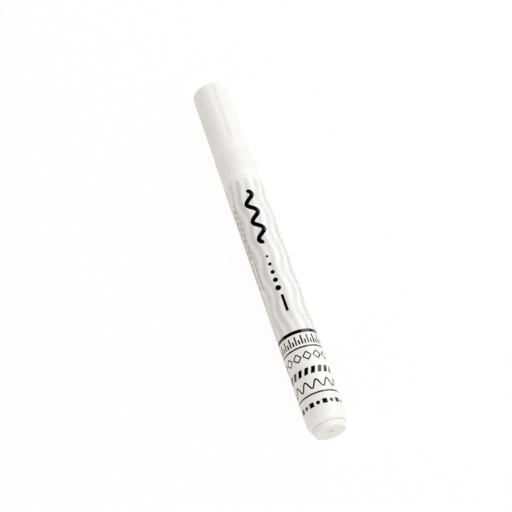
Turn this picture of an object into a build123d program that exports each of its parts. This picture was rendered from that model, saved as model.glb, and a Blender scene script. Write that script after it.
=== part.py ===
from build123d import *
import os
from math import sqrt

# A valve-action paint marker, lying on its side with its cap on.
# +X runs along the marker from its tail to its cap and +Z is up. The origin is on the surface that
# the marker lies on, below the middle of its length.

# Driving dimensions in millimetres: barrel and tail
BARREL_DIAMETER = 13.6
BARREL_LENGTH = 98.6
BARREL_WALL = 1.3
SHOULDER_LENGTH = 2.7
RIM_WALL = 0.5
PLUG_PROUD = 2.1
PLUG_RIM_STEP = 0.3
PLUG_TAPER = 0.5
PLUG_EDGE = 0.3
PLUG_END_WALL = 1.6
PLUG_SKIRT_LENGTH = 9.0
PLUG_SKIRT_WALL = 1.0
DISH_DIAMETER = 4.2
DISH_DEPTH = 0.5
GATE_DIAMETER = 2.2
GATE_DEPTH = 0.9

# Driving dimensions: front section
COLLAR_LENGTH = 11.6
COLLAR_STEP = 0.08
SPIGOT_LENGTH = 9.0
SPIGOT_WALL = 1.1
CAP_SEAT_LENGTH = 8.5
NOSE_LAND_LENGTH = 3.5
NOSE_LIP_WALL = 0.9
NOSE_EDGE = 0.5
FLUTE_COUNT = 4
FLUTE_WIDTH = 0.6
FLUTE_DEPTH = 0.35

# Driving dimensions: cap
CAP_LENGTH = 29.2
CAP_STEP = 0.14
CAP_WALL = 1.1
CAP_END_WALL = 1.3
CAP_END_RADIUS = 1.4
CAP_GATE_DIAMETER = 2.0
CAP_GATE_DEPTH = 0.3
GROOVE_COUNT = 3
GROOVE_RADIUS = 9.0
GROOVE_DEPTH = 0.24
GROOVE_MARGIN = 4.0
RIB_COUNT = 6
RIB_HEIGHT = 0.8
RIB_WIDTH = 0.9
RIB_SET_BACK = 0.6
LINER_WALL = 0.7
LINER_END_WALL = 1.0
LINER_TAPER = 9.0
LINER_TIP_STEP = 0.7
LINER_EDGE = 0.6
LINER_RIM_GAP = 0.3

# Driving dimensions: nib and valve
NIB_DIAMETER = 4.0
NIB_LENGTH = 28.0
NIB_PROUD = 5.0
NIB_HEADROOM = 1.9
NIB_POINT = 3.2
NIB_TRAVEL = 2.0
CUP_WALL = 0.8
CUP_DEPTH = 5.0
CUP_FLOOR = 1.2
CUP_SLOT_COUNT = 4
CUP_SLOT_WIDTH = 0.8
VALVE_WALL = 1.0
SEAT_WEB = 1.5
SEAT_HOLE_DIAMETER = 3.5
VALVE_POCKET = 5.5
STEM_DIAMETER = 2.8
SEAL_GROOVE_DEPTH = 0.25
SEAL_SECTION = 1.1
SEAL_SIDES = 8
HEAD_DIAMETER = 5.2
HEAD_THICKNESS = 1.6
BOSS_DIAMETER = 3.0
BOSS_LENGTH = 2.5
SPRING_DIAMETER = 4.2
SPRING_WIRE = 0.45
SPRING_LENGTH = 15.0
SPRING_TURNS = 6
SPRING_SIDES = 6
CAGE_WALL = 0.9
CAGE_END_WALL = 1.2
CAGE_HOLE_DIAMETER = 2.0
WINDOW_COUNT = 4
WINDOW_WIDTH = 3.0
WINDOW_LENGTH = 4.5
BALL_DIAMETER = 6.0
BALL_PLACE = 40.0

# Clearances and small edges
PRESS_CLEARANCE = 0.02
BEAD_CLEARANCE = 0.1
CAP_CLEARANCE = 0.1
GRIP_CLEARANCE = 0.04
MOUTH_GAP = 0.1
LINER_CLEARANCE = 0.05
LINER_END_GAP = 0.1
NIB_CLEARANCE = 0.08
CUP_CLEARANCE = 0.2
CUP_HEADROOM = 0.8
STROKE_CLEARANCE = 0.2
SEAT_CLEARANCE = 0.03
SPRING_CLEARANCE = 0.02
BALL_CLEARANCE = 0.05
BEAD_WIDTH = 1.0
BEAD_HEIGHT = 0.3
BEAD_ANGLE = 45
LIP_EDGE = 0.55
EDGE = 0.3
FINE_EDGE = 0.15
CUT_OVERRUN = 1.0
MATCH = 1e-4

# Radii, from the barrel inwards
barrel_radius = BARREL_DIAMETER / 2
bore_radius = barrel_radius - BARREL_WALL
rim_radius = bore_radius + RIM_WALL
plug_radius = rim_radius - PLUG_RIM_STEP
face_radius = plug_radius - PLUG_TAPER
skirt_radius = bore_radius - BEAD_CLEARANCE
skirt_bore = skirt_radius - PLUG_SKIRT_WALL
bead_top = bore_radius - PRESS_CLEARANCE
collar_radius = barrel_radius - COLLAR_STEP
spigot_radius = bore_radius - BEAD_CLEARANCE
cap_radius = collar_radius - CAP_STEP
cap_bore = cap_radius - CAP_WALL
seat_radius = cap_bore - CAP_CLEARANCE
grip_top = cap_bore - GRIP_CLEARANCE
groove_centre = cap_radius + GROOVE_RADIUS - GROOVE_DEPTH
rib_radius = cap_bore - RIB_HEIGHT
liner_radius = rib_radius - PRESS_CLEARANCE
liner_bore = liner_radius - LINER_WALL
land_radius = liner_bore - LINER_CLEARANCE
nib_radius = NIB_DIAMETER / 2
nib_bore = nib_radius + NIB_CLEARANCE
nose_radius = nib_bore + NOSE_LIP_WALL
cup_bore = nib_radius + PRESS_CLEARANCE
cup_radius = cup_bore + CUP_WALL
chamber_radius = cup_radius + CUP_CLEARANCE
valve_bore = spigot_radius - SPIGOT_WALL
valve_radius = valve_bore - PRESS_CLEARANCE
pocket_radius = valve_radius - VALVE_WALL
hole_radius = SEAT_HOLE_DIAMETER / 2
stem_radius = STEM_DIAMETER / 2
stem_groove = stem_radius - SEAL_GROOVE_DEPTH
seal_radius = SEAL_SECTION / 2
seal_ring_radius = stem_groove + seal_radius + PRESS_CLEARANCE
head_radius = HEAD_DIAMETER / 2
boss_radius = BOSS_DIAMETER / 2
cage_bore = valve_radius - CAGE_WALL
ball_radius = BALL_DIAMETER / 2

# Stations along the axis, from the tail to the cap's end
total_length = PLUG_PROUD + BARREL_LENGTH + COLLAR_LENGTH + MOUTH_GAP + CAP_LENGTH
x_tail = -total_length / 2
x_rim = x_tail + PLUG_PROUD
x_shoulder = x_rim + SHOULDER_LENGTH
x_skirt = x_rim + PLUG_SKIRT_LENGTH
x_front = x_rim + BARREL_LENGTH
x_spigot = x_front - SPIGOT_LENGTH
x_seat = x_front + COLLAR_LENGTH
x_mouth = x_seat + MOUTH_GAP
x_groove = x_mouth + GROOVE_MARGIN
x_end = x_mouth + CAP_LENGTH
x_nose = x_seat + CAP_SEAT_LENGTH
x_cone = x_nose + NOSE_LAND_LENGTH
x_liner_rim = x_nose + LINER_RIM_GAP
x_rib = x_liner_rim + RIB_SET_BACK
x_cap_floor = x_end - CAP_END_WALL
x_liner_end = x_cap_floor - LINER_END_GAP
x_liner_floor = x_liner_end - LINER_END_WALL
x_nib = x_liner_floor - NIB_HEADROOM
x_lip = x_nib - NIB_PROUD

# Stations of the valve, from the nib's rear end back to the cage
x_cup_floor = x_nib - NIB_LENGTH
x_cup = x_cup_floor + CUP_DEPTH
x_chamber = x_cup + CUP_HEADROOM
x_cup_rear = x_cup_floor - CUP_FLOOR
x_valve = x_cup_rear - NIB_TRAVEL - STROKE_CLEARANCE
x_web = x_valve - SEAT_WEB
x_seal = x_web + hole_radius - seal_ring_radius - sqrt(2) * (seal_radius + SEAT_CLEARANCE)
x_head = x_seal - seal_radius - PRESS_CLEARANCE
x_head_rear = x_head - HEAD_THICKNESS
x_boss = x_head_rear - BOSS_LENGTH
x_body_rear = x_web - VALVE_POCKET
x_spring = x_head_rear - SPRING_CLEARANCE
x_cage_floor = x_spring - SPRING_LENGTH - SPRING_CLEARANCE
x_cage_rear = x_cage_floor - CAGE_END_WALL

# Planes: one holds the turned profiles, as station and radius, and one stands across the axis
AXIS_HEIGHT = barrel_radius
MARKER_AXIS = Axis((0, 0, AXIS_HEIGHT), (1, 0, 0))
PROFILE = Plane(origin=(0, 0, AXIS_HEIGHT))


def across(x):
    """The plane across the marker at a station, whose first axis points up."""
    return Plane(origin=(x, 0, AXIS_HEIGHT), x_dir=(0, 0, 1), z_dir=(1, 0, 0))


def ring_edges(piece, x, radius):
    """The circular edges of a turned piece at one station and radius."""
    circles = piece.edges().filter_by(GeomType.CIRCLE)
    return [e for e in circles if abs(e.arc_center.X - x) < MATCH and abs(e.radius - radius) < MATCH]


# Barrel: a straight tube whose rear end rounds in to a thin rim
with BuildPart() as barrel:
    with BuildSketch(PROFILE):
        with BuildLine():
            TangentArc((x_shoulder, barrel_radius), (x_rim, rim_radius), tangent=(-1, 0))
            Polyline(
                (x_rim, rim_radius),
                (x_rim, bore_radius),
                (x_front, bore_radius),
                (x_front, barrel_radius),
                (x_shoulder, barrel_radius),
            )
        make_face()
    revolve(axis=MARKER_AXIS)
    chamfer(ring_edges(barrel, x_front, barrel_radius), FINE_EDGE)
    chamfer(ring_edges(barrel, x_rim, rim_radius), FINE_EDGE)

# End plug: a hollow skirt with a sealing bead, and a tapered head with the gate's dimple
with BuildPart() as end_plug:
    with BuildSketch(PROFILE):
        with BuildLine():
            Polyline(
                (x_tail + GATE_DEPTH, 0),
                (x_tail + GATE_DEPTH, GATE_DIAMETER / 2),
                (x_tail + DISH_DEPTH, GATE_DIAMETER / 2),
                (x_tail, DISH_DIAMETER / 2),
                (x_tail, face_radius),
                (x_rim, plug_radius),
                (x_rim, skirt_radius),
                (x_skirt, skirt_radius),
                (x_skirt, skirt_bore),
                (x_tail + PLUG_END_WALL, skirt_bore),
                (x_tail + PLUG_END_WALL, 0),
                close=True,
            )
        make_face()
        with Locations(((x_rim + x_skirt) / 2, bead_top - BEAD_HEIGHT / 2)):
            Trapezoid(BEAD_WIDTH, BEAD_HEIGHT, BEAD_ANGLE)
    revolve(axis=MARKER_AXIS)
    chamfer(ring_edges(end_plug, x_tail, face_radius), PLUG_EDGE)
    chamfer(ring_edges(end_plug, x_rim, plug_radius), FINE_EDGE)
    chamfer(ring_edges(end_plug, x_skirt, skirt_radius), EDGE)

# Front section: spigot in the barrel, collar, cap seat with a grip ring, sealing land and nose
with BuildPart() as front_section:
    with BuildSketch(PROFILE):
        with BuildLine():
            Polyline(
                (x_spigot, valve_bore),
                (x_spigot, spigot_radius),
                (x_front, spigot_radius),
                (x_front, collar_radius),
                (x_seat, collar_radius),
                (x_seat, seat_radius),
                (x_nose, seat_radius),
                (x_nose, land_radius),
                (x_cone, land_radius),
                (x_lip, nose_radius),
                (x_lip, nib_bore),
                (x_chamber, nib_bore),
                (x_chamber, chamber_radius),
                (x_valve, chamber_radius),
                (x_valve, valve_bore),
                close=True,
            )
        make_face()
        with Locations(((x_spigot + x_front) / 2, bead_top - BEAD_HEIGHT / 2)):
            Trapezoid(BEAD_WIDTH, BEAD_HEIGHT, BEAD_ANGLE)
        with Locations(((x_seat + x_nose) / 2, grip_top - BEAD_HEIGHT / 2)):
            Trapezoid(BEAD_WIDTH, BEAD_HEIGHT, BEAD_ANGLE)
    revolve(axis=MARKER_AXIS)
    chamfer(ring_edges(front_section, x_front, collar_radius), LIP_EDGE)
    chamfer(ring_edges(front_section, x_seat, collar_radius), FINE_EDGE)
    chamfer(ring_edges(front_section, x_nose, seat_radius), EDGE)
    chamfer(ring_edges(front_section, x_spigot, spigot_radius), EDGE)
    chamfer(ring_edges(front_section, x_lip, nose_radius), NOSE_EDGE)
    # Flutes beside the nib, which feed it and let air back in
    with BuildSketch(across(x_chamber - CUT_OVERRUN)):
        with PolarLocations(nib_bore, FLUTE_COUNT, start_angle=180 / FLUTE_COUNT):
            Rectangle(2 * FLUTE_DEPTH, FLUTE_WIDTH)
    extrude(amount=x_lip - x_chamber + 2 * CUT_OVERRUN, mode=Mode.SUBTRACT)

# Cap: a cup with a rounded closed end, outer grip grooves and inner ribs that hold the liner
with BuildPart() as cap_shell:
    with BuildSketch(PROFILE):
        with BuildLine():
            Polyline(
                (x_mouth, cap_bore),
                (x_mouth, cap_radius),
                (x_end, cap_radius),
                (x_end, CAP_GATE_DIAMETER / 2),
                (x_end - CAP_GATE_DEPTH, CAP_GATE_DIAMETER / 2),
                (x_end - CAP_GATE_DEPTH, 0),
                (x_cap_floor, 0),
                (x_cap_floor, cap_bore),
                close=True,
            )
        make_face()
    revolve(axis=MARKER_AXIS)
    fillet(ring_edges(cap_shell, x_end, cap_radius), CAP_END_RADIUS)
    chamfer(ring_edges(cap_shell, x_mouth, cap_radius), LIP_EDGE)
    chamfer(ring_edges(cap_shell, x_mouth, cap_bore), EDGE)
    # Shallow scooped grip grooves, which run out through the closed end
    with BuildSketch(across(x_groove)):
        with PolarLocations(groove_centre, GROOVE_COUNT):
            Circle(GROOVE_RADIUS)
    extrude(amount=CAP_LENGTH, mode=Mode.SUBTRACT)
    with BuildSketch(across(x_rib)):
        with PolarLocations(cap_bore, RIB_COUNT):
            Rectangle(2 * RIB_HEIGHT, RIB_WIDTH)
        Circle(cap_bore + CAP_WALL / 4, mode=Mode.INTERSECT)
    extrude(amount=x_cap_floor - x_rib + CAP_END_WALL / 2)

# Liner: a thimble that seals on the nose's land and closes over the nib
with BuildPart() as cap_liner:
    with BuildSketch(PROFILE):
        with BuildLine():
            Polyline(
                (x_liner_rim, liner_bore),
                (x_liner_rim, liner_radius),
                (x_liner_end, liner_radius),
                (x_liner_end, 0),
                (x_liner_floor, 0),
                (x_liner_floor, liner_bore - LINER_TIP_STEP),
                (x_liner_floor - LINER_TAPER, liner_bore),
                close=True,
            )
        make_face()
    revolve(axis=MARKER_AXIS)
    chamfer(ring_edges(cap_liner, x_liner_end, liner_radius), LINER_EDGE)
    chamfer(ring_edges(cap_liner, x_liner_rim, liner_bore), FINE_EDGE)

# Nib: a fibre rod with a bullet point
with BuildPart() as nib:
    with BuildSketch(PROFILE):
        with BuildLine():
            EllipticalCenterArc((x_nib - NIB_POINT, 0), NIB_POINT, nib_radius, start_angle=0, arc_size=90)
            Polyline(
                (x_nib - NIB_POINT, nib_radius),
                (x_cup_floor, nib_radius),
                (x_cup_floor, 0),
                (x_nib, 0),
            )
        make_face()
    revolve(axis=MARKER_AXIS)

# Valve stem: a slotted cup for the nib, the shaft, the seal's groove, the head and the spring's boss
with BuildPart() as valve_stem:
    with BuildSketch(PROFILE):
        with BuildLine():
            Polyline(
                (x_cup, cup_bore),
                (x_cup, cup_radius),
                (x_cup_rear, cup_radius),
                (x_cup_rear, stem_radius),
                (x_seal + seal_radius + PRESS_CLEARANCE, stem_radius),
                (x_seal + seal_radius + PRESS_CLEARANCE, stem_groove),
                (x_head, stem_groove),
                (x_head, head_radius),
                (x_head_rear, head_radius),
                (x_head_rear, boss_radius),
                (x_boss, boss_radius),
                (x_boss, 0),
                (x_cup_floor, 0),
                (x_cup_floor, cup_bore),
                close=True,
            )
        make_face()
    revolve(axis=MARKER_AXIS)
    chamfer(ring_edges(valve_stem, x_boss, boss_radius), EDGE)
    with BuildSketch(across(x_cup_floor)):
        with PolarLocations(cup_bore + CUP_WALL / 2, CUP_SLOT_COUNT):
            Rectangle(2 * CUP_WALL, CUP_SLOT_WIDTH)
    extrude(amount=CUP_DEPTH, mode=Mode.SUBTRACT)

# Valve seal: a soft ring in the stem's groove, with bevelled corners, one of which lies on the seat
with BuildPart() as valve_seal:
    with BuildSketch(PROFILE):
        with Locations((x_seal, seal_ring_radius)):
            RegularPolygon(seal_radius, SEAL_SIDES, major_radius=False, rotation=180 / SEAL_SIDES)
    revolve(axis=MARKER_AXIS)

# Valve body: a bush with a 45 degree seat that faces the reservoir
with BuildPart() as valve_body:
    with BuildSketch(PROFILE):
        with BuildLine():
            Polyline(
                (x_valve, hole_radius),
                (x_valve, valve_radius),
                (x_body_rear, valve_radius),
                (x_body_rear, pocket_radius),
                (x_web - pocket_radius + hole_radius, pocket_radius),
                (x_web, hole_radius),
                close=True,
            )
        make_face()
    revolve(axis=MARKER_AXIS)

# Valve spring: an open helix whose ends are ground flat
with BuildPart() as valve_spring:
    with BuildLine() as coil:
        Helix(
            pitch=SPRING_LENGTH / SPRING_TURNS,
            height=SPRING_LENGTH,
            radius=SPRING_DIAMETER / 2,
            center=(x_spring - SPRING_LENGTH, 0, AXIS_HEIGHT),
            direction=(1, 0, 0),
        )
    with BuildSketch(Plane(origin=coil.line @ 0, z_dir=coil.line % 0)):
        RegularPolygon(SPRING_WIRE / 2, SPRING_SIDES)
    sweep()
    split(bisect_by=across(x_spring), keep=Keep.BOTTOM)
    split(bisect_by=across(x_spring - SPRING_LENGTH), keep=Keep.TOP)

# Valve cage: a cup behind the valve body, with windows where it stands in the reservoir
with BuildPart() as valve_cage:
    with BuildSketch(PROFILE):
        with BuildLine():
            Polyline(
                (x_body_rear, cage_bore),
                (x_body_rear, valve_radius),
                (x_cage_rear, valve_radius),
                (x_cage_rear, CAGE_HOLE_DIAMETER / 2),
                (x_cage_floor, CAGE_HOLE_DIAMETER / 2),
                (x_cage_floor, cage_bore),
                close=True,
            )
        make_face()
    revolve(axis=MARKER_AXIS)
    chamfer(ring_edges(valve_cage, x_cage_rear, valve_radius), EDGE)
    with BuildSketch(across(x_cage_floor)):
        with PolarLocations(valve_radius - CAGE_WALL / 2, WINDOW_COUNT):
            Rectangle(2 * CAGE_WALL, WINDOW_WIDTH)
    extrude(amount=WINDOW_LENGTH, mode=Mode.SUBTRACT)

# Mixing ball: lies on the bottom of the reservoir
with BuildPart() as mixing_ball:
    with Locations((x_rim + BALL_PLACE, 0, AXIS_HEIGHT - bore_radius + ball_radius + BALL_CLEARANCE)):
        Sphere(ball_radius)

pieces = {
    "barrel": barrel,
    "end_plug": end_plug,
    "front_section": front_section,
    "cap_shell": cap_shell,
    "cap_liner": cap_liner,
    "nib": nib,
    "valve_stem": valve_stem,
    "valve_seal": valve_seal,
    "valve_body": valve_body,
    "valve_spring": valve_spring,
    "valve_cage": valve_cage,
    "mixing_ball": mixing_ball,
}
os.makedirs("parts", exist_ok=True)
for name, piece in pieces.items():
    piece.part.label = name
    export_step(piece.part, f"parts/{name}.step")
print("overall length", round(total_length, 2), "mm")
print("least gap between the spring's turns", round(SPRING_LENGTH / SPRING_TURNS - SPRING_WIRE, 2), "mm")
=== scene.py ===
# %% [markdown]
# # A white paint marker on a white table
# The marker lies on its side with its cap on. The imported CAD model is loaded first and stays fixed: it
# gives the place and the size of every piece. The pieces that show are then made again as finer surfaces,
# because a turned plastic part needs many more sides than a solid model keeps, and softly rounded edges to
# catch the light.

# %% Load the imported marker
import bmesh
import bpy
import numpy as np
from mathutils import Matrix, Vector


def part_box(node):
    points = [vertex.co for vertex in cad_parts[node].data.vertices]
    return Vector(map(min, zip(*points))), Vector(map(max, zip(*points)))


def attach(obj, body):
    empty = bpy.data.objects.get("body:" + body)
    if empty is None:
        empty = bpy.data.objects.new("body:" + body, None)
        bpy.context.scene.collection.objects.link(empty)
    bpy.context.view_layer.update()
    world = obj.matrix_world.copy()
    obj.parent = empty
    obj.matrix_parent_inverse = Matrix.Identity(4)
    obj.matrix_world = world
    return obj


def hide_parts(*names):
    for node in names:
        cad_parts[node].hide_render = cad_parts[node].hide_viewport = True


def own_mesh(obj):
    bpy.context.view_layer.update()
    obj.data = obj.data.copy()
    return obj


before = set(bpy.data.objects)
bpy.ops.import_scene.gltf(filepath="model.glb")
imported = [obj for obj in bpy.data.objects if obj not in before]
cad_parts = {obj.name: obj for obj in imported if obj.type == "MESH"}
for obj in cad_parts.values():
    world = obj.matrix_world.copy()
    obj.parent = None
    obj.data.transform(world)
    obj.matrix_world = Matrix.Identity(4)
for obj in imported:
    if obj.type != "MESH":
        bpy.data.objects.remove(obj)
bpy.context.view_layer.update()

print("nodes", sorted(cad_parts))

# %% [markdown]
# ## Measures
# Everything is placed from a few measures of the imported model: the marker's axis, the barrel's radius and
# the ends of the barrel, the plug and the cap. All other sizes are written in millimetres, as they would be
# on a drawing, and are turned into metres only when a mesh is made.

# %% Read the marker's own measures
MM = 0.001
barrel_low, barrel_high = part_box("barrel")
X_RIM = barrel_low[0] / MM
X_FRONT = barrel_high[0] / MM
BARREL_R = (barrel_high[1] - barrel_low[1]) / 2 / MM
AXIS_Z = (barrel_high[2] + barrel_low[2]) / 2 / MM
X_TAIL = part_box("end_plug")[0][0] / MM
X_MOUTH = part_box("cap_shell")[0][0] / MM
X_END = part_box("cap_shell")[1][0] / MM
print("barrel radius", round(BARREL_R, 3), "mm, tail", round(X_TAIL, 2), "mm, cap end", round(X_END, 2), "mm")

# %% [markdown]
# ## Camera
# A product photograph like this is taken with a long lens from well above, so that the marker hardly
# tapers. The camera's place is written as an azimuth, an elevation and a distance from a point on the
# marker, and its axes are put straight into a matrix, which avoids any doubt about rotation order.

# %% Place the camera
IMAGE_SIZE = 512
HALF_PIXEL = 0.5 / IMAGE_SIZE
SENSOR = 36.0
FOCAL_PIXELS = 1658.075
VIEW_AZIMUTH = np.radians(-106.939)
VIEW_ELEVATION = np.radians(60.017)
VIEW_DISTANCE = 572.92 * MM
VIEW_TARGET = Vector((-0.48, 3.844, 6.8)) * MM
CLIP_NEAR = 0.01
CLIP_FAR = 50


def placed(name, data):
    """A new object of this data, linked into the scene."""
    made = bpy.data.objects.new(name, data)
    bpy.context.scene.collection.objects.link(made)
    return made


camera_data = bpy.data.cameras.new("camera")
camera_data.sensor_width = SENSOR
camera_data.lens = FOCAL_PIXELS / IMAGE_SIZE * SENSOR
camera_data.shift_x = -HALF_PIXEL
camera_data.shift_y = HALF_PIXEL
camera_data.clip_start = CLIP_NEAR
camera_data.clip_end = CLIP_FAR
camera = placed("camera", camera_data)
right = Vector((np.cos(VIEW_AZIMUTH), np.sin(VIEW_AZIMUTH), 0))
back = Vector((
    np.sin(VIEW_AZIMUTH) * np.cos(VIEW_ELEVATION),
    -np.cos(VIEW_AZIMUTH) * np.cos(VIEW_ELEVATION),
    np.sin(VIEW_ELEVATION),
))
up = back.cross(right)
camera_axes = Matrix((right, up, back)).transposed().to_4x4()
camera.matrix_world = Matrix.Translation(VIEW_TARGET + back * VIEW_DISTANCE) @ camera_axes
bpy.context.scene.camera = camera
print("lens", round(camera_data.lens, 2), "mm")

# %% [markdown]
# ## Shader maths as plain expressions
# A material is a graph of nodes. Linking nodes by hand is long and hard to read, so a small class wraps an
# output socket: adding or multiplying two of them adds a Math node, and its node method adds any other kind
# of node.

# %% A socket that can be added and multiplied
class Wire:
    """An output socket of a material. + - * / add Math nodes, and node() adds any other node."""

    def __init__(self, tree, socket=None):
        self.tree = tree
        self.socket = socket

    def node(self, kind, settings=None, sockets=None, output=0):
        """Adds a node: its settings first, then the values or links of its sockets. The output is named or
        numbered."""
        made = self.tree.nodes.new(kind)
        for name, value in (settings or {}).items():
            setattr(made, name, value)
        for name, value in (sockets or {}).items():
            if isinstance(value, Wire):
                self.tree.links.new(value.socket, made.inputs[name])
            else:
                made.inputs[name].default_value = value
        return Wire(self.tree, made.outputs[output] if made.outputs else None)

    def maths(self, operation, *terms):
        """A Math node on these terms."""
        return self.node("ShaderNodeMath", {"operation": operation}, dict(enumerate(terms)))

    def __add__(self, other):
        return self.maths("ADD", self, other)

    def __sub__(self, other):
        return self.maths("SUBTRACT", self, other)

    def __rsub__(self, other):
        return self.maths("SUBTRACT", other, self)

    def __mul__(self, other):
        return self.maths("MULTIPLY", self, other)

    def __truediv__(self, other):
        return self.maths("DIVIDE", self, other)

    def __rtruediv__(self, other):
        return self.maths("DIVIDE", other, self)

    __radd__ = __add__
    __rmul__ = __mul__

    def blend(self, first, second):
        """A colour that goes from first to second as this value goes from 0 to 1. A Mix node numbers its
        colours 6 and 7, and its colour output 2."""
        sockets = {0: self, 6: first, 7: second}
        return self.node("ShaderNodeMix", {"data_type": "RGBA"}, sockets, output=2)

    def between(self, low, high):
        """A value from 0 to 1, which rises smoothly as this one goes from low to high."""
        settings = {"interpolation_type": "SMOOTHSTEP"}
        return self.node("ShaderNodeMapRange", settings, {0: self, 1: low, 2: high, 3: 0.0, 4: 1.0})

# %% Finishes and noise
def finish(name, build):
    """A new material whose Principled shader is fed by build(start, shader), and its name printed."""
    material = bpy.data.materials.new(name)
    material.use_nodes = True
    shader = material.node_tree.nodes["Principled BSDF"]
    build(Wire(material.node_tree), shader)
    print("finish", name)
    return material


def feed(shader, **sockets):
    """Puts values or links into a shader's sockets; an underscore in a name stands for a space."""
    for name, value in sockets.items():
        socket = shader.inputs[name.replace("_", " ")]
        if isinstance(value, Wire):
            value.tree.links.new(value.socket, socket)
        else:
            socket.default_value = value


def own_place(start):
    """The object's own coordinates, in metres."""
    return start.node("ShaderNodeTexCoord", output="Object")


def grain(start, size_mm, detail=2.0):
    """Noise from 0 to 1 on the object's own coordinates, with features of about size_mm: its scale is how
    many of them go into a metre."""
    sockets = {"Vector": own_place(start), "Scale": 1 / MM / size_mm, "Detail": detail}
    return start.node("ShaderNodeTexNoise", {}, sockets)

# %% [markdown]
# ## Moulded plastics
# The barrel is glossy, the cap and the collar are a little duller. None is perfectly even: a moulding has
# slow changes of gloss where it cooled, and a fine skin that follows the polish of the mould. Slow noise
# moves the colour and the roughness by a few hundredths, and fine noise gives a bump that is felt only in
# reflections. Noise keeps near the middle of its range, so that middle is stretched over the two tones. A
# thin band over the lip at each of the two seams is painted paler. This is a painted highlight, which draws a
# fine bright line along the two seams.

# %% Plastics of the marker
PLASTIC_IOR = 1.5
SLOW_MM = 9.0
SLOW_STRETCH = (0.3, 0.7)
SLOW_SHADE = 0.975
GLOSS_MM = 2.5
SKIN_DETAIL = 3.0
# Tone of a painted highlight: a band over each lip is painted in this paler colour to draw the bright seam
# line.
PAINTED_HIGHLIGHT_TONE = (0.955, 0.952, 0.945, 1)
LIP_BEGINS, LIP_FADES, LIP_ENDS = -0.1, 0.4, 0.7


def plastic(tone, roughness, spread, skin_mm, skin_height, lip=None):
    """A moulded plastic: tone, mean roughness and its spread, the size and height of its skin in mm, and the
    station of a lip, over which a paler band is painted as a highlight."""

    def build(start, shader):
        shade = tuple(c * SLOW_SHADE for c in tone)
        colour = grain(start, SLOW_MM).between(*SLOW_STRETCH).blend((*shade, 1), (*tone, 1))
        # A paler band over the lip is a painted highlight along the seam, not the plastic's own colour.
        if lip is not None:
            station = start.node("ShaderNodeSeparateXYZ", {}, {0: own_place(start)}, output="X") / MM
            begun = station.between(lip + LIP_BEGINS, lip)
            ended = station.between(lip + LIP_FADES, lip + LIP_ENDS)
            colour = (begun * (1 - ended)).blend(colour, PAINTED_HIGHLIGHT_TONE)
        gloss = (grain(start, GLOSS_MM) - 0.5) * spread + roughness
        skin = grain(start, skin_mm, SKIN_DETAIL)
        bump = {"Height": skin, "Distance": skin_height * MM, "Strength": 1.0}
        normal = start.node("ShaderNodeBump", {}, bump)
        feed(shader, Base_Color=colour, Roughness=gloss, Normal=normal, IOR=PLASTIC_IOR)

    return build


barrel_white = finish("barrel_white", plastic((0.912, 0.910, 0.903), 0.17, 0.06, 1.2, 0.002))
trim_white = finish("trim_white", plastic((0.893, 0.889, 0.880), 0.30, 0.08, 0.5, 0.003, X_FRONT))
cap_white = finish("cap_white", plastic((0.898, 0.894, 0.885), 0.38, 0.08, 0.4, 0.004, X_MOUTH))
liner_milky = finish("liner_milky", plastic((0.82, 0.82, 0.80), 0.45, 0.10, 0.5, 0.003))
valve_grey = finish("valve_grey", plastic((0.70, 0.71, 0.72), 0.40, 0.10, 0.4, 0.004))
seal_black = finish("seal_black", plastic((0.03, 0.03, 0.03), 0.65, 0.10, 0.2, 0.004))

# %% [markdown]
# ## Inks, fibre and steel
# The print is ink on the barrel. The black ink is a closed film that shines a little more than the plastic.
# The pale ink is satin, and some of its pigment is pearl. The nib is pressed fibre, with streaks along its
# length. The spring is drawn wire and the ball is polished: both are metals with fine marks in their
# roughness.

# %% Inks
MOTTLE_MM = 0.6
MOTTLE_STRETCH = (0.25, 0.75)
MOTTLE_SHADE = 0.9
INK_GLOSS_MM = 1.5
INK_GLOSS_SPREAD = 0.06


def ink(tone, roughness, ior=1.5, pearl=0.0):
    """A printed ink: a thin even film with a slight mottle, and a share of pearl pigment, which shines like
    metal."""

    def build(start, shader):
        deep = tuple(c * MOTTLE_SHADE for c in tone)
        colour = grain(start, MOTTLE_MM).between(*MOTTLE_STRETCH).blend((*deep, 1), (*tone, 1))
        gloss = (grain(start, INK_GLOSS_MM) - 0.5) * INK_GLOSS_SPREAD + roughness
        feed(shader, Base_Color=colour, Roughness=gloss, IOR=ior, Metallic=pearl)

    return build


black_ink = finish("black_ink", ink((0.0015, 0.0015, 0.002), roughness=0.12, ior=1.68))
pale_ink = finish("pale_ink", ink((0.83, 0.82, 0.805), roughness=0.58, pearl=0.40))

# %% Pressed fibre
FIBRE_DEEP = (0.74, 0.73, 0.70, 1)
FIBRE_PALE = (0.88, 0.87, 0.85, 1)
FIBRE_ROUGHNESS = 0.8
STREAKS = {"Scale": 9000, "Detail": 3}
STREAK_PULL = (0.06, 1, 1)
STREAK_STRETCH = (0.3, 0.7)
STREAK_BUMP = {"Distance": 0.03 * MM, "Strength": 0.8}


def fibre(start, shader):
    """Pressed fibre: fine streaks along the nib, matt, in an off-white."""
    pulled = start.node("ShaderNodeMapping", {}, {"Vector": own_place(start), "Scale": STREAK_PULL})
    streak = start.node("ShaderNodeTexNoise", {}, {"Vector": pulled, **STREAKS})
    colour = streak.between(*STREAK_STRETCH).blend(FIBRE_DEEP, FIBRE_PALE)
    normal = start.node("ShaderNodeBump", {}, {"Height": streak, **STREAK_BUMP})
    feed(shader, Base_Color=colour, Roughness=FIBRE_ROUGHNESS, Normal=normal)


nib_fibre = finish("nib_fibre", fibre)

# %% Steel
STEEL_DEEP = (0.55, 0.55, 0.56, 1)
STEEL_PALE = (0.68, 0.68, 0.69, 1)
MARKS_MM = 0.3
MARKS_DETAIL = 4.0
MARKS_STRETCH = (0.2, 0.8)
MARKS_SPREAD = 0.15


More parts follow.
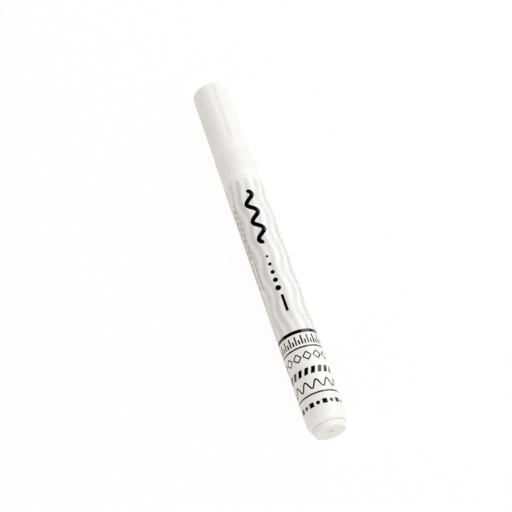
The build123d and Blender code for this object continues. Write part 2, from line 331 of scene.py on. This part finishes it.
def steel(roughness):
    """A bare steel with fine marks."""

    def build(start, shader):
        marks = grain(start, MARKS_MM, MARKS_DETAIL)
        tone = marks.between(*MARKS_STRETCH).blend(STEEL_DEEP, STEEL_PALE)
        feed(shader, Base_Color=tone, Metallic=1.0, Roughness=(marks - 0.5) * MARKS_SPREAD + roughness)

    return build


spring_wire = finish("spring_wire", steel(roughness=0.30))
ball_steel = finish("ball_steel", steel(roughness=0.15))

# %% [markdown]
# ## Turned pieces
# Most of a marker is turned about one axis: a profile of stations and radii goes once round. The profile is
# drawn as a few corners, each with its own rounding, because a moulding has no sharp edge. Profiles run
# forward on the outside of a piece, from the tail side to the cap's end, so that every face looks outward.

# %% Profiles with rounded corners
def round_corners(corners, closed=False, arc_points=7):
    """Profile through corners (station, radius, rounding in mm): each corner becomes an arc of that rounding,
    tangent to both of its sides, and a rounding of 0 keeps the corner."""
    spots = np.array([c[:2] for c in corners], float)
    roundings = [c[2] if len(c) > 2 else 0.0 for c in corners]
    stretches = []
    for i, (spot, rounding) in enumerate(zip(spots, roundings)):
        is_end = not closed and i in (0, len(spots) - 1)
        if is_end or rounding == 0:
            stretches.append(spot[None])
            continue
        to_last = spots[i - 1] - spot
        to_next = spots[(i + 1) % len(spots)] - spot
        to_last = to_last / np.linalg.norm(to_last)
        to_next = to_next / np.linalg.norm(to_next)
        inward = to_last + to_next
        half = np.arccos(np.clip(to_last @ to_next, -1, 1)) / 2
        middle = spot + inward / np.linalg.norm(inward) * rounding / np.sin(half)
        first = spot + to_last * rounding / np.tan(half) - middle
        last = spot + to_next * rounding / np.tan(half) - middle
        sweep = np.pi - 2 * half
        t = np.linspace(0, 1, arc_points)[:, None]
        arc = (np.sin((1 - t) * sweep) * first + np.sin(t * sweep) * last) / np.sin(sweep)
        stretches.append(middle + arc)
    return np.vstack(stretches)

# %% Turned surfaces and their meshes
def turned(stations, radii, angles):
    """Points of a turned surface: at angle a from straight up, towards -Y, a point lies at
    (station, -radius sin a, axis height + radius cos a)."""
    x, r, a = np.broadcast_arrays(stations, radii, angles)
    return np.stack([x, -r * np.sin(a), AXIS_Z + r * np.cos(a)], axis=-1)


def grid_quads(rows, columns, loop_rows=False, loop_columns=False):
    """Corner numbers of the quads of a grid of points; a looped side joins its last line to its first."""
    i = np.arange(rows if loop_rows else rows - 1)[:, None]
    j = np.arange(columns if loop_columns else columns - 1)[None, :]
    ahead, aside = (i + 1) % rows, (j + 1) % columns
    corners = [i * columns + j, i * columns + aside, ahead * columns + aside, ahead * columns + j]
    return np.stack([c + 0 * (i + j) for c in corners], axis=-1).reshape(-1, 4)


MERGE_DISTANCE = 1e-7
SMOOTH_ANGLE = np.radians(35)


def piece(name, points, quads, material, body, slot, replaces=()):
    """A mesh from points in mm and quads, with poles and doubles merged, riding on a body."""
    mesh = bpy.data.meshes.new(name)
    mesh.from_pydata((points.reshape(-1, 3) * MM).tolist(), [], quads.tolist())
    shape = bmesh.new()
    shape.from_mesh(mesh)
    bmesh.ops.remove_doubles(shape, verts=shape.verts, dist=MERGE_DISTANCE)
    shape.to_mesh(mesh)
    shape.free()
    mesh.shade_smooth()
    mesh.set_sharp_from_angle(angle=SMOOTH_ANGLE)
    mesh.materials.append(material)
    made = placed(name, mesh)
    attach(made, body)
    if replaces:
        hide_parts(*replaces)
    print("piece", name, len(mesh.polygons), "faces")
    return made


SIDES = 192
ROUND = np.arange(SIDES) * 2 * np.pi / SIDES


def turned_piece(name, profile, closed, **keys):
    """A piece turned from a profile: closed for a tube, open for one that begins and ends on the axis."""
    points = turned(profile[:, :1], profile[:, 1:], ROUND[None, :])
    return piece(name, points, grid_quads(len(profile), SIDES, closed, True), **keys)

# %% [markdown]
# ## Barrel and tail plug
# The barrel is a straight tube whose rear end rounds in to a thin rim. The plug is pressed into that end: a
# hollow skirt with a sealing bead, and a tapered head whose flat face has a shallow dish with the gate's
# hole in it. The plug is a little smaller than the rim, so that a fine step and a dark line show between
# them. The shoulder is the arc of a circle that leaves the barrel straight and drops to the rim; each of
# its points follows from the angle at which the surface leans.

# %% Turn the barrel
BORE_R = 5.5
RIM_R = 6.0
SHOULDER = 2.7
SHOULDER_POINTS = 12
STRAIGHT_END = 1.0
FINE_EDGE = 0.15

shoulder_drop = BARREL_R - RIM_R
shoulder_r = (SHOULDER ** 2 + shoulder_drop ** 2) / (2 * shoulder_drop)
lean = np.linspace(np.arcsin(SHOULDER / shoulder_r), 0, SHOULDER_POINTS)[1:]
shoulder = np.stack([
    X_RIM + SHOULDER - shoulder_r * np.sin(lean),
    BARREL_R - shoulder_r * (1 - np.cos(lean)),
], axis=-1)
barrel_end = round_corners([
    (X_FRONT - STRAIGHT_END, BARREL_R),
    (X_FRONT, BARREL_R, FINE_EDGE),
    (X_FRONT, BORE_R, FINE_EDGE),
    (X_RIM, BORE_R, FINE_EDGE),
    (X_RIM, RIM_R - FINE_EDGE),
])
turned_piece("barrel_tube", np.vstack([shoulder, barrel_end]), True, material=barrel_white, body="holder",
             slot="barrel_plastic", replaces=["barrel"])

# %% Turn the plug
PLUG_R = 5.7
FACE_R = 5.2
DISH_R = 2.1
DISH_DEPTH = 0.5
GATE_R = 1.1
GATE_DEPTH = 0.9
PLUG_END_WALL = 1.6
EDGE = 0.3
SKIRT_R = 5.4
SKIRT_WALL = 1.0
SKIRT_LENGTH = 9.0
BEAD_R = 5.48
BEAD_WIDTH = 1.0
X_SKIRT = X_RIM + SKIRT_LENGTH


def bead(x, base, top):
    """Corners of one sealing bead, a low ring with sloping sides."""
    slope = top - base
    half = BEAD_WIDTH / 2
    return [(x - half, base), (x - half + slope, top), (x + half - slope, top), (x + half, base)]


plug_profile = round_corners([
    (X_TAIL + GATE_DEPTH, 0),
    (X_TAIL + GATE_DEPTH, GATE_R, FINE_EDGE),
    (X_TAIL + DISH_DEPTH, GATE_R, FINE_EDGE),
    (X_TAIL, DISH_R, EDGE),
    (X_TAIL, FACE_R, EDGE),
    (X_RIM, PLUG_R, FINE_EDGE),
    (X_RIM, SKIRT_R),
    *bead((X_RIM + X_SKIRT) / 2, SKIRT_R, BEAD_R),
    (X_SKIRT, SKIRT_R, EDGE),
    (X_SKIRT, SKIRT_R - SKIRT_WALL),
    (X_TAIL + PLUG_END_WALL, SKIRT_R - SKIRT_WALL, EDGE),
    (X_TAIL + PLUG_END_WALL, 0),
])
turned_piece("tail_plug", plug_profile, False, material=trim_white, body="holder", slot="trim_plastic",
             replaces=["end_plug"])

# %% [markdown]
# ## Front section
# Only its collar shows while the cap is on. Behind the collar a spigot is pressed into the barrel, and in
# front of it come the cap's seat with a grip ring, the sealing land and the nose, with four small flutes
# round the nib. A flute only makes the nib's bore wider over a short arc, so it is added to the turned
# radius.

# %% Draw the front section's profile
COLLAR_R = 6.72
COLLAR_LENGTH = 11.6
LIP_EDGE = 0.55
LIP_ROUND = 1.2
SPIGOT_LENGTH = 9.0
SEAT_R = 5.38
SEAT_LENGTH = 8.5
GRIP_R = 5.44
LAND_R = 3.91
LAND_LENGTH = 3.5
NOSE_R = 2.98
NIB_BORE = 2.08
NIB_REACH = 5.0
CHAMBER_R = 3.02
CHAMBER_DEPTH = 22.2
VALVE_BORE = 4.3
VALVE_DEPTH = 31.4
FLUTE_EDGE = 0.06
X_SPIGOT = X_FRONT - SPIGOT_LENGTH
X_SEAT = X_FRONT + COLLAR_LENGTH
X_NOSE = X_SEAT + SEAT_LENGTH
X_CONE = X_NOSE + LAND_LENGTH
X_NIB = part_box("nib")[1][0] / MM
X_LIP = X_NIB - NIB_REACH
X_CHAMBER = X_NIB - CHAMBER_DEPTH
X_VALVE = X_NIB - VALVE_DEPTH
front_profile = round_corners([
    (X_SPIGOT, VALVE_BORE, FINE_EDGE),
    (X_SPIGOT, SKIRT_R, EDGE),
    *bead((X_SPIGOT + X_FRONT) / 2, SKIRT_R, BEAD_R),
    (X_FRONT, SKIRT_R),
    (X_FRONT, COLLAR_R - LIP_EDGE, FINE_EDGE),
    (X_FRONT + LIP_EDGE, COLLAR_R, LIP_ROUND),
    (X_SEAT, COLLAR_R, FINE_EDGE),
    (X_SEAT, SEAT_R),
    *bead((X_SEAT + X_NOSE) / 2, SEAT_R, GRIP_R),
    (X_NOSE, SEAT_R, EDGE),
    (X_NOSE, LAND_R, FINE_EDGE),
    (X_CONE, LAND_R, EDGE),
    (X_LIP, NOSE_R, EDGE),
    (X_LIP, NIB_BORE, FLUTE_EDGE),
    (X_CHAMBER, NIB_BORE),
    (X_CHAMBER, CHAMBER_R),
    (X_VALVE, CHAMBER_R),
    (X_VALVE, VALVE_BORE),
], closed=True)
print("front section's profile", len(front_profile), "points")

# %% Turn the front section and cut its flutes
FLUTES = 4
FLUTE_DEPTH = 0.35
FLUTE_HALF = 0.3

front_x, front_r = front_profile[:, :1], front_profile[:, 1:]
in_bore = (front_r < NIB_BORE + FLUTE_EDGE) & (front_x >= X_CHAMBER)
flute_period = 2 * np.pi / FLUTES
from_flute = NIB_BORE * np.abs(ROUND[None, :] % flute_period - flute_period / 2)
flute = np.clip((FLUTE_HALF + FLUTE_EDGE - from_flute) / (2 * FLUTE_EDGE), 0, 1)
front_points = turned(front_x, front_r + in_bore * flute * FLUTE_DEPTH, ROUND[None, :])
piece("front_body", front_points, grid_quads(len(front_profile), SIDES, True, True), trim_white, "holder",
      "trim_plastic", ["front_section"])

# %% [markdown]
# ## Cap
# The cap is a cup with three shallow grip grooves, each the mark of a wide round cutter that runs out
# through the closed end. On a grid of stations and angles the cap's outer radius is simply the lesser of
# the plain profile and the distance from the axis to the cutter. Inside, six ribs stand on the bore and
# hold the liner. Extra angles are added where a groove or a rib begins, so that their edges fall on lines
# of the grid.

# %% Draw the cap's profiles
CAP_R = 6.58
CAP_BORE = 5.48
CAP_FLOOR = 1.3
CAP_END_ROUND = 1.4
CAP_ARC_POINTS = 20
CAP_GATE_R = 1.0
CAP_GATE_DEPTH = 0.3
GROOVE_SETBACK = 4.0
RIB_R = 4.68
RIB_CLEARANCE = 0.9
STEP = 0.02
X_CAP_FLOOR = X_END - CAP_FLOOR
X_GROOVE = X_MOUTH + GROOVE_SETBACK
X_RIB = X_NOSE + RIB_CLEARANCE
mouth_r = (CAP_R - LIP_EDGE - FINE_EDGE + CAP_BORE + EDGE) / 2

cap_inside = round_corners([
    (X_CAP_FLOOR, 0),
    (X_CAP_FLOOR, RIB_R - EDGE),
    (X_CAP_FLOOR, CAP_BORE, EDGE),
    (X_RIB + STEP, CAP_BORE),
    (X_RIB, CAP_BORE),
    (X_MOUTH, CAP_BORE, EDGE),
    (X_MOUTH, mouth_r),
])
cap_outside = round_corners([
    (X_MOUTH, mouth_r),
    (X_MOUTH, CAP_R - LIP_EDGE, FINE_EDGE),
    (X_MOUTH + LIP_EDGE, CAP_R, LIP_ROUND),
    (X_GROOVE, CAP_R),
    (X_GROOVE + STEP, CAP_R),
    (X_END, CAP_R, CAP_END_ROUND),
    (X_END, CAP_GATE_R, FINE_EDGE),
    (X_END - CAP_GATE_DEPTH, CAP_GATE_R, FINE_EDGE),
    (X_END - CAP_GATE_DEPTH, 0),
], arc_points=CAP_ARC_POINTS)
print("cap's profiles", len(cap_inside), "points inside and", len(cap_outside), "outside")

# %% Turn the cap, scoop its grooves and raise its ribs
GROOVES = 3
GROOVE_RADIUS = 9.0
GROOVE_DEPTH = 0.24
GROOVE_POINTS = 31
RIBS = 6
RIB_HALF = 0.45
ANGLE_DIGITS = 6

cutter = CAP_R + GROOVE_RADIUS - GROOVE_DEPTH
groove_edge = np.arccos((cutter ** 2 + CAP_R ** 2 - GROOVE_RADIUS ** 2) / (2 * cutter * CAP_R))
groove_period = 2 * np.pi / GROOVES
groove_lines = np.linspace(-groove_edge, groove_edge, GROOVE_POINTS)
in_grooves = groove_lines + groove_period * np.arange(GROOVES)[:, None]
rib_edge = RIB_HALF / CAP_BORE
rib_period = 2 * np.pi / RIBS
rib_lines = np.array([-rib_edge - STEP / CAP_BORE, -rib_edge, rib_edge, rib_edge + STEP / CAP_BORE])
at_ribs = rib_lines + rib_period * np.arange(RIBS)[:, None]
all_angles = np.concatenate([ROUND, in_grooves.ravel(), at_ribs.ravel()]) % (2 * np.pi)
cap_angles = np.unique(np.round(all_angles, ANGLE_DIGITS))[None, :]

from_groove = (cap_angles + groove_period / 2) % groove_period - groove_period / 2
reach = np.maximum(GROOVE_RADIUS ** 2 - (cutter * np.sin(from_groove)) ** 2, 0)
scoop = cutter * np.cos(from_groove) - np.sqrt(reach)
x_out, r_out = cap_outside[:, :1], cap_outside[:, 1:]
scooped = (x_out > X_GROOVE) & (np.abs(from_groove) < groove_edge)
r_out = np.where(scooped, np.minimum(r_out, scoop), r_out)
from_rib = (cap_angles + rib_period / 2) % rib_period - rib_period / 2
x_in, r_in = cap_inside[:, :1], cap_inside[:, 1:]
ribbed = (x_in > X_RIB) & (r_in > RIB_R) & (np.abs(from_rib) < rib_edge + STEP / CAP_BORE / 2)
r_in = np.where(ribbed, RIB_R, r_in)
cap_points = np.concatenate([turned(x_in, r_in, cap_angles), turned(x_out, r_out, cap_angles)])
piece("cap_cup", cap_points, grid_quads(len(cap_points), cap_angles.size, False, True), cap_white, "cap",
      "cap_plastic", ["cap_shell"])

# %% [markdown]
# ## Valve spring
# The spring is round wire wound into a helix and ground flat at both ends. It is a small circle carried
# along the helix and tilted by the pitch, and cut off at the two ends. Its rear end stands in the cage, and
# it shortens when the nib is pressed.

# %% Wind the valve spring
SPRING_TURNS = 6
POINTS_PER_TURN = 60
WIRE_R = 0.225
WIRE_SIDES = 16
spring_low, spring_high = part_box("valve_spring")
spring_length = (spring_high[0] - spring_low[0]) / MM
coil_r = (spring_high[2] - spring_low[2]) / 2 / MM - WIRE_R
wound = np.linspace(0, 1, POINTS_PER_TURN * SPRING_TURNS)[:, None]
coil_angle = 2 * np.pi * SPRING_TURNS * wound
pitch_angle = np.arctan2(spring_length, 2 * np.pi * SPRING_TURNS * coil_r)
# The wire's section runs from a full turn down to none, so that its faces look outward.
section = np.linspace(2 * np.pi, 0, WIRE_SIDES, endpoint=False)[None, :]
wire_r = np.full_like(wound, WIRE_R)
wire_r[[0, -1]] = 0
outward, sideways = wire_r * np.cos(section), wire_r * np.sin(section)
coil_x = spring_low[0] / MM + spring_length * wound + sideways * np.cos(pitch_angle)
coil_x = np.clip(coil_x, spring_low[0] / MM, spring_high[0] / MM)
coil_points = turned(coil_x, coil_r + outward, coil_angle - sideways * np.sin(pitch_angle) / coil_r)
coil = piece("spring_coil", coil_points, grid_quads(len(wound), WIRE_SIDES, False, True), spring_wire,
             "holder", "spring_steel", ["valve_spring"])
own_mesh(coil)

# %% [markdown]
# ## Finishes of the pieces that stay as they are
# The rest of the pieces are hidden while the cap is on. Their solids are right as they are and only take a
# finish.

# %% Dress the other pieces
HIDDEN_FINISHES = {
    "cap_liner": liner_milky,
    "nib": nib_fibre,
    "valve_stem": valve_grey,
    "valve_body": valve_grey,
    "valve_cage": valve_grey,
    "valve_seal": seal_black,
    "mixing_ball": ball_steel,
}
for node, material in HIDDEN_FINISHES.items():
    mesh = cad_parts[node].data
    mesh.materials.clear()
    mesh.materials.append(material)
print("dressed", ", ".join(HIDDEN_FINISHES))

# %% [markdown]
# ## Print on the barrel
# Print is a film of ink. It is made as thin patches just above the plastic, because a patch keeps a crisp
# edge at any distance. A mark is drawn flat, as points of (millimetres from the tail seam, millimetres
# round from straight up), and then wrapped round the barrel.

# %% Wrap flat marks round the barrel
INK_FILM = 0.012
GIRTH = 2 * np.pi * BARREL_R


def wrapped(flat, lift=INK_FILM):
    """Flat marks wrapped round the barrel: the second measure becomes an angle, arc length over radius."""
    return turned(X_RIM + flat[..., 0], (BARREL_R + lift) + 0 * flat[..., 0], flat[..., 1] / BARREL_R)


def printed(name, patches, material, lift=INK_FILM):
    """One piece of print from patches, each an array (copies, rows, columns, 2) of flat points."""
    points, quads, count = [], [], 0
    for patch in patches:
        copies, rows, columns = patch.shape[:3]
        size = rows * columns
        one = grid_quads(rows, columns)
        quads.append((one[None] + (count + np.arange(copies) * size)[:, None, None]).reshape(-1, 4))
        points.append(wrapped(patch, lift).reshape(-1, 3))
        count += copies * size
    return piece(name, np.vstack(points), np.vstack(quads), material, "holder", "barrel_plastic")


def ribbon(path, width, across=3):
    """A stroke along a flat path: each point is moved sideways along the path's normal by up to half the
    width."""
    path = np.asarray(path, float)
    run = np.gradient(path, axis=-2)
    run = run / np.linalg.norm(run, axis=-1, keepdims=True)
    normal = np.stack([-run[..., 1], run[..., 0]], axis=-1)
    side = np.linspace(-0.5, 0.5, across)[:, None] * np.asarray(width)[..., None, None]
    return path[..., None, :] + normal[..., None, :] * side


def repeated(patch, count, start=0.0):
    """Copies of a flat patch set evenly round the barrel."""
    shift = start + np.arange(count) * 2 * np.pi * BARREL_R / count
    return patch[None] + np.stack([0 * shift, shift], axis=-1)[:, None, None, :]

# %% [markdown]
# ## Wavy stripes
# The front part of the print is a run of pale pearly stripes. Each is a band whose middle follows a cosine,
# so it leaves the crisp line near the collar straight, at a crest, and then waves down to the thick ring,
# all in step. The stripes lie half a film lower than the black print that crosses them.

# %% Print the wavy stripes
STRIPES = 13
STRIPE_WIDTH = 1.65
STRIPE_START = 0.5
STRIPE_FRONT = 95.8
STRIPE_REAR = 32.4
STRIPE_POINTS = 260
STRIPE_LINES = 5
WAVE_LENGTH = 14.9
WAVE_HEIGHT = 0.65
WAVE_CREST = 94.5

stripe_x = np.linspace(STRIPE_REAR, STRIPE_FRONT, STRIPE_POINTS)[:, None]
wave = WAVE_HEIGHT * (np.cos((stripe_x - WAVE_CREST) * 2 * np.pi / WAVE_LENGTH) - 1)
edge = np.linspace(-0.5, 0.5, STRIPE_LINES)[None, :] * STRIPE_WIDTH
stripe = np.stack([stripe_x + 0 * edge, wave + edge], axis=-1)
printed("wavy_stripes", [repeated(stripe, STRIPES, STRIPE_START)], pale_ink, INK_FILM / 2)

# %% [markdown]
# ## Black rings and borders
# Behind the stripes come a thick ring, two thin rings and bands of plain border marks between them: a scale
# of tall and short bars, a row of diamonds, slanted blocks, a running wave, and dashes with dots. Each mark
# is drawn once, as a block, a dot or a stroke along a path, and repeated round the barrel.

# %% Draw the marks of the borders
BLOCK_LINES = 4
DISC_RINGS = (0.02, 0.5, 1.0)
DISC_SIDES = 24
CHEVRON_POINTS = 21
SWELL_POINTS = 41


def ring(rear, front):
    """A ring round the whole barrel between two stations."""
    girth_line = np.linspace(0, GIRTH, SIDES + 1)[None, :]
    rows = np.array([[rear], [front]])
    return np.stack([rows + 0 * girth_line, 0 * rows + girth_line], axis=-1)[None]


def block(rear, front, width, slant=0.0, around=0.0):
    """A solid block between two stations whose sides lean by slant."""
    u = np.linspace(0, 1, BLOCK_LINES)[:, None]
    v = np.linspace(-0.5, 0.5, BLOCK_LINES)[None, :]
    return np.stack([rear + u * (front - rear) + 0 * v, around + v * width + (u - 0.5) * slant], axis=-1)


def disc(station, around, radius):
    """A solid dot: rings of points from its middle to its edge."""
    r = np.array(DISC_RINGS)[:, None] * radius
    a = np.linspace(0, 2 * np.pi, DISC_SIDES + 1)[None, :]
    return np.stack([station + r * np.cos(a), around + r * np.sin(a)], axis=-1)


def chevron(foot, tip, width):
    """The path of an open chevron across a band, from its foot to the tip in its middle and back."""
    t = np.linspace(-1, 1, CHEVRON_POINTS)
    return np.stack([foot + (tip - foot) * (1 - np.abs(t)), t * width / 2], axis=-1)


def swell(middle, height, width):
    """The path of one full wave about a middle station: height times the cosine, over one width."""
    a = np.linspace(-np.pi, np.pi, SWELL_POINTS)
    return np.stack([middle + height * np.cos(a), a / (2 * np.pi) * width], axis=-1)

# %% Print the rings and borders
THIN = 0.45
BOLD = 0.55
THICK_RING = (32.32, 33.58)
FRONT_RING = (26.82, 27.39)
REAR_RING = (9.69, 10.25)
BARS, BAR_FOOT, BAR_TALL, BAR_SHORT = 20, 28.2, 31.5, 29.9
DIAMONDS, DIAMOND_WIDTH = 12, 2.9
DIAMOND_REAR, DIAMOND_MIDDLE, DIAMOND_FRONT = 22.2, 23.7, 25.2
BLOCKS, BLOCK_REAR, BLOCK_FRONT = 18, 17.0, 19.5
BLOCK_WIDTH, BLOCK_SLANT, BLOCK_START = 1.4, 0.9, 0.3
SWELLS, SWELL_MIDDLE, SWELL_HEIGHT = 11, 13.25, 1.4
DASHES, DASH_REAR, DASH_FRONT = 9, 5.6, 7.3
DASH_WIDTH, DASH_START = 1.7, 0.6
DOT_MIDDLE, DOT_R = 6.45, 0.7

printed("black_rings", [ring(*THICK_RING), ring(*FRONT_RING), ring(*REAR_RING)], black_ink)
front_chevron = chevron(DIAMOND_MIDDLE, DIAMOND_FRONT, DIAMOND_WIDTH)
rear_chevron = chevron(DIAMOND_MIDDLE, DIAMOND_REAR, DIAMOND_WIDTH)
one_swell = swell(SWELL_MIDDLE, SWELL_HEIGHT, GIRTH / SWELLS)
borders = [
    repeated(block(BAR_FOOT, BAR_TALL, BOLD), BARS),
    repeated(block(BAR_FOOT, BAR_SHORT, BOLD), BARS, GIRTH / BARS / 2),
    repeated(ribbon(front_chevron, THIN), DIAMONDS),
    repeated(ribbon(rear_chevron, THIN), DIAMONDS),
    repeated(block(BLOCK_REAR, BLOCK_FRONT, BLOCK_WIDTH, BLOCK_SLANT), BLOCKS, BLOCK_START),
    repeated(ribbon(one_swell, BOLD), SWELLS),
    repeated(block(DASH_REAR, DASH_FRONT, DASH_WIDTH), DASHES, DASH_START),
    repeated(disc(DOT_MIDDLE, 0, DOT_R), DASHES, DASH_START + GIRTH / DASHES / 2),
]
printed("black_borders", borders, black_ink)

# %% [markdown]
# ## Stroke sample
# A marker often carries a sample of the line it draws. A bold wave stands for the stroke, with a row of
# growing dots and a plain dash behind it. Fine dashed lines run along both sides. The wave is a stroke
# along a sine, and thins quickly at its two ends, as a pen's line does.

# %% Print the stroke sample
SAMPLE_FRONT, SAMPLE_REAR = 91.0, 69.0
SAMPLE_AROUND = -0.7
SAMPLE_WAVES = 3
SAMPLE_HEIGHT = 1.5
SAMPLE_WIDTH = 1.6
SAMPLE_POINTS = 160
SAMPLE_LINES = 9
END_SHARE, END_TAPER = 0.35, 30
ROW_DOTS, ROW_FRONT, ROW_PITCH, ROW_AROUND = 5, 63.6, 3.2, -1.5
ROW_DOT_R, ROW_DOT_GROWTH = 0.5, 0.13
STROKE_REAR, STROKE_FRONT, STROKE_WIDTH, STROKE_AROUND = 41.5, 48.0, 1.0, -1.1

t = np.linspace(0, 1, SAMPLE_POINTS)
sample = np.stack([
    SAMPLE_FRONT + (SAMPLE_REAR - SAMPLE_FRONT) * t,
    SAMPLE_AROUND + SAMPLE_HEIGHT * np.sin(t * 2 * np.pi * SAMPLE_WAVES),
], axis=-1)
thickness = SAMPLE_WIDTH * np.clip(np.minimum(t, 1 - t) * END_TAPER + END_SHARE, 0, 1)
row_of_dots = [
    disc(ROW_FRONT - ROW_PITCH * k, ROW_AROUND, ROW_DOT_R + ROW_DOT_GROWTH * k)[None] for k in range(ROW_DOTS)
]
plain_dash = block(STROKE_REAR, STROKE_FRONT, STROKE_WIDTH, around=STROKE_AROUND)[None]
sample_wave = ribbon(sample, thickness, SAMPLE_LINES)[None]
printed("stroke_sample", [sample_wave, *row_of_dots, plain_dash], black_ink)

# %% Print the fine dashed lines
FINE = 0.28
HAIR = 0.08
DASH_PERIOD = 2.4


def dashed_line(front, rear, degrees, share, width):
    """A fine line of dashes along the barrel: as many as fit, each covering a share of the period."""
    dash_x = np.arange(rear, front - DASH_PERIOD, DASH_PERIOD)
    one = block(0, DASH_PERIOD * share, width, around=np.radians(degrees) * BARREL_R)
    return one[None] + np.stack([dash_x, 0 * dash_x], axis=-1)[:, None, None, :]


fine_lines = [
    dashed_line(front=90, rear=53, degrees=-61, share=0.75, width=FINE),
    dashed_line(front=90, rear=66, degrees=-69, share=0.70, width=FINE),
    dashed_line(front=88, rear=54, degrees=-77, share=0.85, width=FINE),
    dashed_line(front=79, rear=47, degrees=54, share=0.60, width=HAIR),
]
printed("fine_lines", fine_lines, black_ink)

# %% [markdown]
# ## Table
# The marker lies on a large white table, a flat disc. To the camera it looks plain white and still takes
# the marker's soft shadow: the Light Path node tells camera rays from the others, and its paint is mixed
# with a plain white glow for them. Where the table is mirrored in the marker the glow is only a small
# share, so that the table's own tone and the shadow beside the marker show there.

# %% Table
TABLE_R = 3.0
TABLE_RINGS = (0, 0.25, 0.5, 1)
TABLE_SIDES = 96
TABLE_TONE = (0.93, 0.93, 0.925, 1)
WHITE = (1, 1, 1, 1)
WHITE_SHARE = 0.95
MIRROR_SHARE = 0.10


def ray(start, kind):
    """1 for the rays of one kind, Camera, Glossy or Transmission, and 0 for the others."""
    return start.node("ShaderNodeLightPath", output=f"Is {kind} Ray")


table_r = np.array(TABLE_RINGS)[:, None] * TABLE_R
table_a = np.linspace(0, 2 * np.pi, TABLE_SIDES, endpoint=False)[None, :]
table_top = np.stack([table_r * np.cos(table_a), table_r * np.sin(table_a), 0 * table_r * table_a], axis=-1)
facing_up = grid_quads(len(TABLE_RINGS), TABLE_SIDES, False, True)[:, ::-1]
table_mesh = bpy.data.meshes.new("table")
table_mesh.from_pydata(table_top.reshape(-1, 3).tolist(), [], facing_up.tolist())
table = placed("table", table_mesh)
table_paint = bpy.data.materials.new("table_paint")
table_paint.use_nodes = True
table_paint.node_tree.nodes.clear()
paint = Wire(table_paint.node_tree)
plain_view = paint.maths("MAXIMUM", ray(paint, "Camera"), ray(paint, "Transmission")) * WHITE_SHARE
glow_share = paint.maths("MAXIMUM", plain_view, ray(paint, "Glossy") * MIRROR_SHARE)
matt = paint.node("ShaderNodeBsdfDiffuse", {}, {"Color": TABLE_TONE})
glow = paint.node("ShaderNodeEmission", {}, {"Color": WHITE, "Strength": 1.0})
mixed = paint.node("ShaderNodeMixShader", {}, {0: glow_share, 1: matt, 2: glow})
paint.node("ShaderNodeOutputMaterial", {}, {"Surface": mixed})
table_mesh.materials.append(table_paint)
print("table", len(table_mesh.polygons), "faces")

# %% [markdown]
# ## Room and lamps
# A large soft box high on the right shapes the whole marker, and a narrower one lower down shows as the
# sheen on the print. The room fills the shadows with an even warm light, with less of it from behind the
# tail. Only a band of the room stays dark, where the camera sees it mirrored in the barrel, so that the
# black print stays black. The band and the dimmer side are told apart by how far a direction points along
# the marker.

# %% Room and soft boxes
ROOM_LIGHT = 0.92
ROOM_TONE = (1, 0.93, 0.855, 1)
BAND_BEGINS = (0.18, 0.32)
BAND_ENDS = (0.58, 0.72)
TAIL_SIDE = (-0.9, -0.4)
TAIL_DIM = 0.30
KEY_TONE = (0.83, 1.0, 1.15)

world = bpy.data.worlds.new("room")
bpy.context.scene.world = world
world.use_nodes = True
world.node_tree.nodes.clear()
air = Wire(world.node_tree)
# In a world, the first output of this node is the direction of the ray.
direction = air.node("ShaderNodeTexCoord")
forward = air.node("ShaderNodeSeparateXYZ", {}, {0: direction}, output="X")
dark_band = forward.between(*BAND_BEGINS) * (1 - forward.between(*BAND_ENDS))
behind = (1 - forward.between(*TAIL_SIDE)) * TAIL_DIM
level = (1 - dark_band) * (1 - behind) * ROOM_LIGHT
room = air.node("ShaderNodeBackground", {}, {"Color": ROOM_TONE, "Strength": level})
white = air.node("ShaderNodeBackground", {}, {"Color": WHITE, "Strength": 1.0})
both = air.node("ShaderNodeMixShader", {}, {0: ray(air, "Camera"), 1: room, 2: white})
air.node("ShaderNodeOutputWorld", {}, {"Surface": both})


def soft_box(name, towards, distance, width, height, radiance, tone=(1, 1, 1)):
    """A soft box in a direction from the marker, facing it, its width along the marker. Its power is radiance
    times pi times its area."""
    data = bpy.data.lights.new(name, "AREA")
    data.shape = "RECTANGLE"
    data.size, data.size_y = width, height
    data.energy = radiance * np.pi * width * height
    data.color = tone
    box = placed(name, data)
    towards = Vector(towards).normalized()
    across = towards.cross((1, 0, 0)).normalized()
    axes = Matrix((across.cross(towards), across, towards)).transposed().to_4x4()
    box.matrix_world = Matrix.Translation(towards * distance) @ axes
    print(name, round(data.energy, 2), "W")


soft_box("key_box", towards=(-0.08, -0.45, 0.89), distance=1.2, width=0.75, height=1.0, radiance=2.04,
         tone=KEY_TONE)
soft_box("side_box", towards=(0.42, -0.715, 0.555), distance=0.9, width=0.30, height=0.78, radiance=2.00)
bpy.context.scene.view_settings.view_transform = "Standard"
